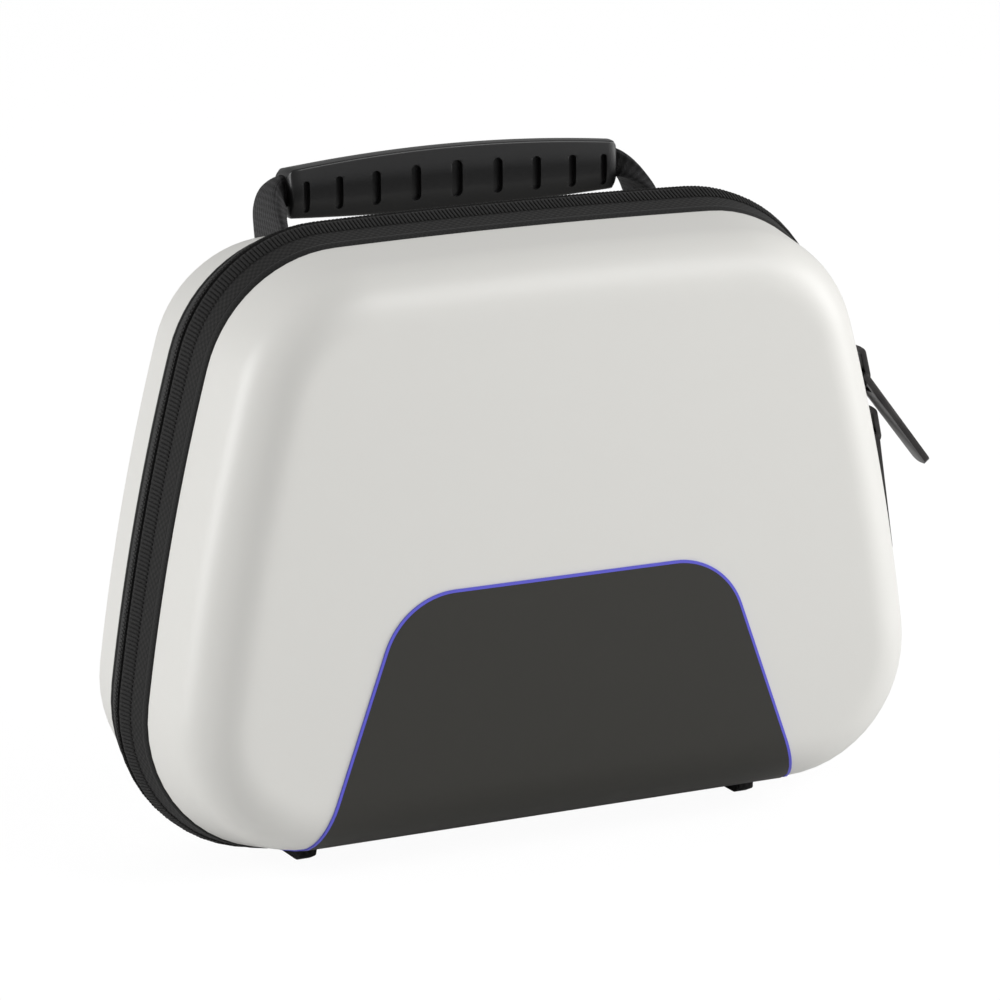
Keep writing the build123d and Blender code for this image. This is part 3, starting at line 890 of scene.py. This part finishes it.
def makePatchLine():
    form = patchForm
    right = patchBorder()
    left = [(-x, z, -nx, nz) for x, z, nx, nz in reversed(right[:-1])]
    low = patchLow(form["thickness"])
    width, proud = form["lineWidth"], form["thickness"] - form["lineSink"]
    rows = []
    for x, z, nx, nz in right + left:
        x += form["shift"]
        inner = frontPoint(x, max(z, low), proud)
        outer = frontPoint(x + width * nx, max(z + width * nz, low), proud)
        rows.append([inner, inner.lerp(outer, 0.5), outer])
    return makeSkin("patch_border_line", rows, lineMaterial, form["thickness"])


frontPatch = makePatch()
dressNode(frontPatch, "lid", "front_patch")
patchLine = makePatchLine()
dressNode(patchLine, "lid", "patch_outline")
print("patch made")

# Moulded grip with grooves on both sides and a hole for the webbing

gripForm = {
    "y": 31.0,
    "middle": 152.7,
    "endMiddle": 152.05,
    "half": 43.7,
    "height": 15.8,
    "endHeight": 12.1,
    "wide": 5.6,
    "toe": 1.4,
    "corner": 1.6,
    "chamfer": 0.8,
    "crestCorner": 0.5,
    "backCorner": 2.56,
    "hole": (5.4, 8.2),
    "holeDepth": 6.0,
    "holeRound": 0.6,
    "rings": 44,
    "slots": 9,
    "slotReach": 39.8,
    "slotTurn": 11.0,
    "slotBottom": 4.7,
    "slotWidths": (2.9, 1.7),
    "slotTops": (4.3, 3.0),
    "slotDepth": 1.6,
    "slotEdge": 0.25,
    "edgeAngle": 50,
    "cutterLength": 8.0,
    "cutterSides": 24,
}


def roundCorners(points, radii, steps=4):
    # each corner of a closed outline is replaced by a short curve
    outline = []
    count = len(points)
    for number, (corner, radius) in enumerate(zip(points, radii)):
        before, after = points[number - 1], points[(number + 1) % count]
        # the curves of two neighbouring corners stay apart
        room = 0.45 * min((before - corner).length, (after - corner).length)
        reach = min(radius, room)
        start = corner + (before - corner).normalized() * reach
        end = corner + (after - corner).normalized() * reach
        for step in range(steps + 1):
            part = step / steps
            outline.append(start.lerp(corner, part).lerp(corner.lerp(end, part), part))
    return outline


def squareRound(angle, power):
    # a point on a rounded square that reaches 1 to each side; a low power squares it more
    across = abs(cos(angle)) ** power * (1 if cos(angle) >= 0 else -1)
    above = abs(sin(angle)) ** power * (1 if sin(angle) >= 0 else -1)
    return across, above


def gripMiddle(x):
    form = gripForm
    return form["middle"] - (form["middle"] - form["endMiddle"]) * (x / form["half"]) ** 2


def gripRing(x, inset=0.0, hole=False):
    form = gripForm
    swell = 1 - (x / form["half"]) ** 2
    top = (form["endHeight"] + swell * (form["height"] - form["endHeight"])) / 2
    wide, toe, corner, back = form["wide"], form["toe"], form["corner"], form["backCorner"]
    # the section from its lower front corner up, over the crest and down the back
    points = [(-wide + toe, -top), (-wide, -0.45 * top), (-wide, 0.35 * top)]
    points += [(-wide + toe / 2, top - toe / 8), (-toe, top), (0.7 * wide, 0.8 * top)]
    points += [(wide, 0.2 * top), (wide, -0.45 * top), (wide - toe, -top)]
    radii = [corner, corner, corner, form["crestCorner"], back, back, back, back, corner]
    ring = []
    for point in roundCorners([Vector(p) for p in points], radii):
        if hole:
            across, above = squareRound(atan2(point.y, point.x), form["holeRound"])
            point = Vector((across * form["hole"][0] / 2, above * form["hole"][1] / 2))
        else:
            point = point * (1 - inset / top)
        ring.append(Vector((x, form["y"] + point.x, gripMiddle(x) + point.y)) * mm)
    return ring


def makeSlotCutter(number, side):
    # slots grow shorter and narrower towards the ends of the grip
    form = gripForm
    last = form["slots"] // 2
    share = abs(number) / last
    width = form["slotWidths"][0] + (form["slotWidths"][1] - form["slotWidths"][0]) * share
    high = form["slotTops"][0] + (form["slotTops"][1] - form["slotTops"][0]) * share
    turn = radians(form["slotTurn"])
    x = form["slotReach"] * sin(number * turn) / sin(last * turn)
    straight = high + form["slotBottom"] - width
    middle = gripMiddle(x) + (high - form["slotBottom"]) / 2
    length = form["cutterLength"]
    y = form["y"] + side * (form["wide"] - form["slotDepth"] + length / 2)
    deselectAll()
    bpy.ops.mesh.primitive_cylinder_add(
        vertices=form["cutterSides"], radius=width / 2 * mm, depth=length * mm
    )
    cutter = bpy.context.object
    for vertex in cutter.data.vertices:
        a, b, c = vertex.co
        rise = straight / 2 * mm * (1 if b > 0 else -1)
        vertex.co = (x * mm + a, y * mm - c, middle * mm + b + rise)
    return cutter


def makeGrip():
    form = gripForm
    half, chamfer, count = form["half"], form["chamfer"], form["rings"]
    inside = half - form["holeDepth"]
    rings = [gripRing(-inside, hole=True), gripRing(-half, hole=True), gripRing(-half, chamfer)]
    rings += [gripRing((half - chamfer) * (2 * n / count - 1)) for n in range(count + 1)]
    rings += [gripRing(half, chamfer), gripRing(half, hole=True), gripRing(inside, hole=True)]
    piece = drawRings("slotted_grip", rings)
    last = form["slots"] // 2
    cutters = [makeSlotCutter(n, side) for n in range(-last, last + 1) for side in (-1, 1)]
    deselectAll()
    for cutter in cutters:
        cutter.select_set(True)
    bpy.context.view_layer.objects.active = cutters[0]
    bpy.ops.object.join()
    cut = piece.modifiers.new("slots", "BOOLEAN")
    cut.operation = "DIFFERENCE"
    cut.object = cutters[0]
    cut.solver = "EXACT"
    applyModifiers(piece)
    deselectAll()
    cutters[0].select_set(True)
    bpy.ops.object.delete()
    roundEdges(piece, form["slotEdge"], form["edgeAngle"])
    giveMaterial(piece, gripMaterial)
    smoothPiece(piece, form["edgeAngle"])
    shading = piece.modifiers.new("flat_faces", "WEIGHTED_NORMAL")
    shading.keep_sharp = True
    applyModifiers(piece)
    return piece


grip = makeGrip()
dressNode(grip, "handle", "handle_grip")
print("grip made")

# Tray, flange, sliders and pulls keep the CAD's shapes, the metal ones with rounded edges

copyForm = {"weld": 0.002, "flatAngle": 0.5, "edgeAngle": 35}


def dressCopy(node, name, material, body, bevel=0.0):
    form = copyForm
    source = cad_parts[node]
    deselectAll()
    piece = source.copy()
    piece.data = source.data.copy()
    bpy.context.scene.collection.objects.link(piece)
    piece.name = name
    bpy.context.view_layer.update()
    world = source.matrix_world.copy()
    piece.parent = None
    piece.matrix_world = Matrix.Identity(4)
    piece.data.transform(world)
    editAll(piece)
    bpy.ops.mesh.remove_doubles(threshold=form["weld"] * mm)
    bpy.ops.mesh.dissolve_limited(angle_limit=radians(form["flatAngle"]))
    bpy.ops.object.mode_set(mode="OBJECT")
    if bevel:
        roundEdges(piece, bevel, form["edgeAngle"])
    giveMaterial(piece, material)
    smoothPiece(piece, form["edgeAngle"])
    dressNode(piece, body, node)


dressCopy("controller_tray", "lined_tray", liningMaterial, "rear_half")
dressCopy("tray_flange", "lined_flange", liningMaterial, "rear_half")
for place in ("upper", "lower"):
    slider, pull = place + "_slider", place + "_pull"
    body = place + "_zip_slider"
    dressCopy(slider, slider + "_body", metalMaterial, body, bevel=0.12)
    body = place + "_zip_pull"
    dressCopy(pull, pull + "_tab", metalMaterial, body, bevel=0.2)
print("tray and zip sliders dressed")

# Net pocket glued to the lid's lining, with an elastic hem along its mouth

pocketForm = {
    "half": 67.5,
    "topHalf": 58.0,
    "bottom": 25.0,
    "top": 97.0,
    "depth": 7.4,
    "edge": 6.5,
    "corner": 18.0,
    "lining": 31.4,
    "net": 0.5,
    "hemHeight": 7.0,
    "hemThickness": 1.4,
    "hemProud": 0.5,
    "hemRows": 4,
    "gather": 0.3,
    "gatherLength": 9.0,
    "columns": 90,
    "rows": 40,
}


def pocketPoint(share, z, proud):
    # share is 0 in the middle and 1 or -1 at the side borders
    form = pocketForm
    lean = (form["half"] - form["topHalf"]) / (form["top"] - form["bottom"])
    half = form["half"] - lean * (z - form["bottom"])
    low = max(form["bottom"] + form["corner"] - z, 0)
    half -= form["corner"] - sqrt(max(form["corner"] ** 2 - low**2, 0))
    x = share * half
    border = min((half - abs(x)) / form["edge"], (z - form["bottom"]) / form["edge"], 1)
    lift = form["depth"] * sin(border * pi / 2)
    wave = form["gather"] * sin(2 * pi * x / form["gatherLength"]) * border
    return Vector((x, -form["lining"] + lift + proud + wave, z)) * mm


def pocketRows(low, high, count, proud):
    columns = pocketForm["columns"]
    heights = [low + (high - low) * n / count for n in range(count + 1)]
    shares = [1 - 2 * n / columns for n in range(columns + 1)]
    return [[pocketPoint(share, z, proud) for share in shares] for z in heights]


def makePocket():
    form = pocketForm
    top = form["top"]
    rows = pocketRows(form["bottom"], top, form["rows"], 0)
    net = makeSkin("pocket_net", rows, netMaterial, form["net"])
    rows = pocketRows(top, top + form["hemHeight"], form["hemRows"], form["hemProud"])
    hem = makeSkin("pocket_elastic_hem", rows, bindingMaterial, form["hemThickness"])
    return net, hem


pocketNet, pocketHem = makePocket()
dressNode(pocketNet, "lid", "mesh_pocket")
dressNode(pocketHem, "lid", "pocket_hem")
print("pocket made")

# Handle webbing: folded narrow in the grip, coming forward and opening out flat at the shell

strapForm = {
    "rootY": 20.5,
    # distance from the middle, share of the way to rootY, drop, turn, width, height
    "stations": [
        (41.7, 0.0, 0.0, 0, 3.2, 7.4),
        (44.3, 0.0, 0.0, 8, 4.2, 7.4),
        (46.8, 0.14, 1.2, 42, 10.5, 5.4),
        (48.9, 0.42, 4.2, 72, 16.0, 3.2),
        (49.8, 0.72, 8.5, 86, 19.0, 2.4),
        (50.2, 0.95, 13.0, 92, 20.0, 2.2),
    ],
    "steps": 6,
    "insideSteps": 20,
    "ringPoints": 28,
    "ringRound": 0.45,
    # the last rings are kept from sinking deeper than this into the shell
    "sewnRings": 7,
    "sink": 0.8,
    "lastSink": 1.0,
}


def smoothBetween(values, part):
    # part of the way from the second to the third value, on a smooth curve through all four
    a, b, c, d = values
    bend = 2 * a - 5 * b + 4 * c - d
    return 0.5 * (2 * b + (c - a) * part + bend * part**2 + (3 * b - a - 3 * c + d) * part**3)


def strapRing(x, y, z, turn, width, height):
    ahead = radians(turn)
    up = Vector((sin(ahead), 0, cos(ahead)))
    ring = []
    count = strapForm["ringPoints"]
    for step in range(count):
        across, above = squareRound(2 * pi * step / count, strapForm["ringRound"])
        point = Vector((x, y + width / 2 * across, z)) + up * (height / 2 * above)
        ring.append(point * mm)
    return ring


def rearTop(x, y):
    # height of the rear shell's top where the webbing is sewn down
    reach = y - caseForm["bandHalfWidth"]
    form = rearForm
    inset = wallInset(reach, caseForm["rimInset"], form["draft"], form["depth"], form["edge"])
    drop = caseForm["rimDrop"]
    cx, cz = topCorner(drop)
    if abs(x) > cx:
        radius = caseForm["topCorner"] - inset
        return cz + sqrt(max(radius**2 - (abs(x) - cx) ** 2, 0))
    return topArc[1] + sqrt((topArc[2] - inset - drop) ** 2 - x**2)


def makeStrap():
    form = strapForm
    stations = form["stations"]
    inside, *_, thickness, high = stations[0]
    base = gripMiddle(inside)
    rings = []
    for number in range(len(stations) - 1):
        ends = [max(number - 1, 0), number, number + 1, min(number + 2, len(stations) - 1)]
        for step in range(form["steps"]):
            x, share, drop, turn, width, height = [
                smoothBetween([stations[n][key] for n in ends], step / form["steps"])
                for key in range(6)
            ]
            y = gripForm["y"] - share * (gripForm["y"] - form["rootY"])
            rings.append(strapRing(x, y, base - drop, turn, width, height))
    for ring in rings[-form["sewnRings"]:]:
        for point in ring:
            top = rearTop(point.x / mm, point.y / mm)
            point.z = max(point.z, (top - form["sink"]) * mm)
    last = []
    for point in rings[-1]:
        top = rearTop(point.x / mm, point.y / mm)
        last.append(Vector((point.x, point.y, (top - form["lastSink"]) * mm)))
    rings.append(last)
    inner = []
    for step in range(1, form["insideSteps"]):
        x = inside * (1 - 2 * step / form["insideSteps"])
        inner.append(strapRing(x, gripForm["y"], gripMiddle(x), 0, thickness, high))
    left = [[Vector((-p.x, p.y, p.z)) for p in ring] for ring in rings]
    piece = drawRings("handle_webbing", rings[::-1] + inner + left)
    giveMaterial(piece, webbingMaterial)
    smoothPiece(piece, 60)
    return piece


strap = makeStrap()
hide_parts("handle_strap")
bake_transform(strap)
print("handle webbing made")

# Floor, lights and camera

studio = {
    "floorSize": 12,
    "floorHeight": -0.0002,
    "paper": 0.85,
    "floorClear": 0.92,
    "white": 1.04,
    "ambient": 0.41,
    "aim": (0, 0, 0.075),
    "key": ((0.8, -1.2, 1.3), (0.9, 0.9), 13.5),
    "back": ((-1.6, 0.55, 0.35), (0.6, 1.2), 22.0),
    "fill": ((1.6, -0.6, 0.4), (0.8, 1.2), 18.7),
}


def makeFloor():
    # nearly clear to the camera, so the white behind it shows and its shadows stay faint
    deselectAll()
    bpy.ops.mesh.primitive_plane_add(
        size=studio["floorSize"], location=(0, 0, studio["floorHeight"])
    )
    floor = bpy.context.object
    floor.name = "floor"
    material = bpy.data.materials.new("White_paper_floor")
    material.use_nodes = True
    tree = material.node_tree
    tree.nodes.remove(tree.nodes["Principled BSDF"])
    grey = studio["paper"]
    paper = addNode(tree, "BsdfDiffuse", {"Color": (grey, grey, grey, 1)})
    clear = addNode(tree, "BsdfTransparent")
    path = addNode(tree, "LightPath")
    settings = {"operation": "MULTIPLY", "i1": studio["floorClear"]}
    share = addNode(tree, "Math", settings, i0=path.outputs["Is Camera Ray"])
    mix = addNode(tree, "MixShader", i0=share.outputs[0], i1=paper.outputs[0], i2=clear.outputs[0])
    tree.links.new(mix.outputs[0], tree.nodes["Material Output"].inputs[0])
    giveMaterial(floor, material)


def makeWorld():
    # the camera sees plain white, the pieces are lit by a weaker ambient light
    world = bpy.data.worlds.new("studio")
    bpy.context.scene.world = world
    world.use_nodes = True
    tree = world.node_tree
    ambient = tree.nodes["Background"]
    ambient.inputs["Color"].default_value = (1, 1, 1, 1)
    ambient.inputs["Strength"].default_value = studio["ambient"]
    white = addNode(tree, "Background", {"Color": (1, 1, 1, 1), "Strength": studio["white"]})
    path = addNode(tree, "LightPath")
    mix = addNode(
        tree,
        "MixShader",
        i0=path.outputs["Is Camera Ray"],
        i1=ambient.outputs[0],
        i2=white.outputs[0],
    )
    tree.links.new(mix.outputs[0], tree.nodes["World Output"].inputs[0])


def addLamp(name, place, size, power):
    data = bpy.data.lights.new(name, "AREA")
    data.shape = "RECTANGLE"
    data.size, data.size_y = size
    data.energy = power
    lamp = bpy.data.objects.new(name, data)
    bpy.context.scene.collection.objects.link(lamp)
    lamp.location = place
    aim = Vector(studio["aim"]) - Vector(place)
    lamp.rotation_euler = aim.to_track_quat("-Z", "Y").to_euler()


makeFloor()
makeWorld()
for light in ("key", "back", "fill"):
    addLamp(light + "_light", *studio[light])

cameraForm = {
    "place": (-0.5323, -1.0640, 0.3793),
    "right": (0.89459, -0.44689, -0.00182),
    "up": (0.11115, 0.21856, 0.96947),
    "lens": 184.1,
    "sensor": 36,
    "near": 0.01,
}


def makeCamera():
    data = bpy.data.cameras.new("photo_camera")
    data.lens = cameraForm["lens"]
    data.sensor_width = cameraForm["sensor"]
    data.clip_start = cameraForm["near"]
    camera = bpy.data.objects.new("photo_camera", data)
    bpy.context.scene.collection.objects.link(camera)
    right, up = Vector(cameraForm["right"]).normalized(), Vector(cameraForm["up"])
    back = right.cross(up).normalized()
    up = back.cross(right)
    turn = Matrix((right, up, back)).transposed().to_4x4()
    camera.matrix_world = Matrix.Translation(cameraForm["place"]) @ turn
    bpy.context.scene.camera = camera


makeCamera()
bpy.context.scene.view_settings.view_transform = "Standard"
print("stage set")
